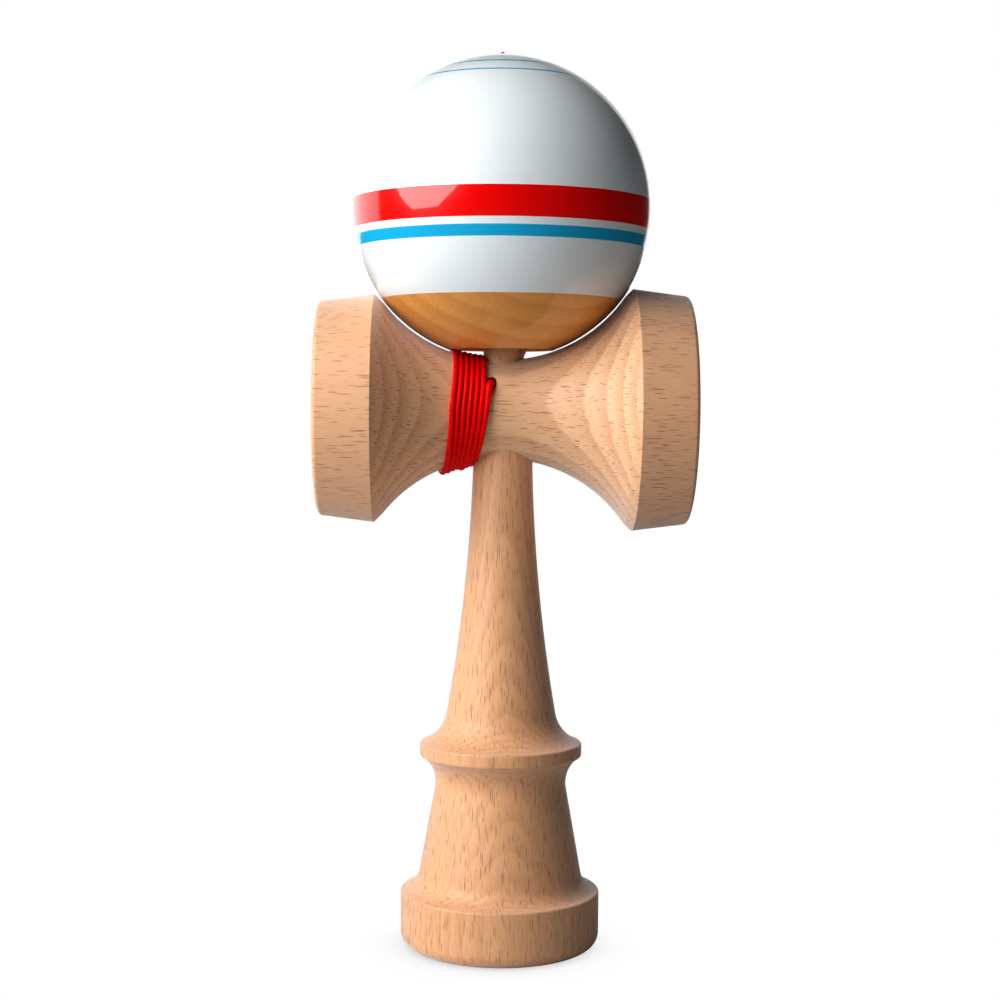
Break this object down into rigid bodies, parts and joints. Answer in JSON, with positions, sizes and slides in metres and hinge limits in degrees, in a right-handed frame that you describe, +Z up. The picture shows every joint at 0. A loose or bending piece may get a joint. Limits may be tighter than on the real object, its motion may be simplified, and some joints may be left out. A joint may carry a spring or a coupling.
{
  "type": "kendama",
  "caption": "Wooden skill toy: a turned handle with a spike and a cross-piece of cups, and a lacquered ball with a hole, tied on with a string wound round the waist.",
  "frame": {"origin": "on the floor under the handle's axis, at the middle of the foot's rim", "axes": "+Z up along the handle to the spike; +X along the cross-piece towards the big cup; the string hole is on the -Y side"},
  "size_m": [0.075, 0.0612, 0.1828],
  "materials": {
    "beech_handle": "bare beech, sanded smooth, short dark flecks along the grain",
    "beech_crosspiece": "bare beech, sanded smooth, grain along the cups",
    "amber_ball_wood": "amber wood under clear gloss lacquer",
    "white_lacquer": "gloss white lacquer",
    "red_lacquer": "gloss red lacquer",
    "blue_lacquer": "gloss blue lacquer",
    "bead_wood": "plain wooden bead",
    "red_string": "braided red string"
  },
  "bodies": {
    "handle": {"ken_handle": "beech_handle", "cup_crosspiece": "beech_crosspiece", "string_winding": "red_string", "string_anchor": "red_string", "string_anchor_knot": "red_string", "string_riser": "red_string"},
    "string_end": {"swivel_bead": "bead_wood", "string_in_ball": "red_string", "string_end_knot": "red_string"},
    "ball": {"ball_core": "amber_ball_wood", "white_lacquer": "white_lacquer", "red_stripe": "red_lacquer", "blue_stripe": "blue_lacquer", "blue_pinstripes": "blue_lacquer"}
  },
  "joints": [
    {"name": "ball_lift", "type": "slide", "parent": "handle", "child": "string_end", "axis": [0, 0, 1], "range_m": [0, 0.045], "deforming": ["string_riser"]},
    {"name": "ball_spin", "type": "hinge", "parent": "string_end", "child": "ball", "pos_m": [-0.0005, 0, 0.15084], "axis": [0, 0, 1], "continuous": true}
  ]
}
